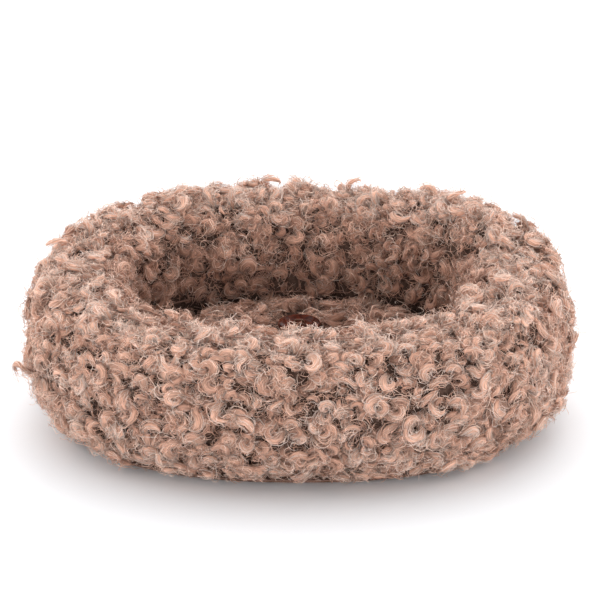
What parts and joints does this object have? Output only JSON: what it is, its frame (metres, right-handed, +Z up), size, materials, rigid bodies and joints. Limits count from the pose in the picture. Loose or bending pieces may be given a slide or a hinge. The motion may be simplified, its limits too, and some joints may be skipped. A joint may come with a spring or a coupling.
{
  "type": "pet cushion bed",
  "caption": "Small oval pet bed with a thick stuffed wall round a buttoned floor cushion, covered in curly fleece pile on a flat woven base.",
  "frame": {"origin": "on the ground, in the middle of the bed's underside", "axes": "+X along the bed's width, +Z up, and the low side of the wall faces -Y"},
  "size_m": [0.26, 0.216, 0.0827],
  "materials": {
    "curly_fleece": "long curled pile, dusty mocha pink",
    "base_cloth": "plain weave, brown",
    "fibre_filling": "white carded fibre",
    "sewing_thread": "spun thread, matched to the pile",
    "button_plastic": "glossy dark red-brown",
    "washer_plastic": "natural",
    "waxed_cord": "waxed, dark brown"
  },
  "bodies": {
    "root": {"outer_wall_fleece": "curly_fleece", "inner_wall_fleece": "curly_fleece", "floor_fleece": "curly_fleece", "base_fabric": "base_cloth", "wall_filling": "fibre_filling", "floor_filling": "fibre_filling", "crest_seam_thread": "sewing_thread", "floor_seam_thread": "sewing_thread", "base_seam_thread": "sewing_thread", "closing_thread": "sewing_thread", "outer_back_seam_thread": "sewing_thread", "inner_back_seam_thread": "sewing_thread", "tuft_button": "button_plastic", "tuft_washer": "washer_plastic", "tuft_cord_front": "waxed_cord", "tuft_cord_back": "waxed_cord"}
  },
  "joints": []
}
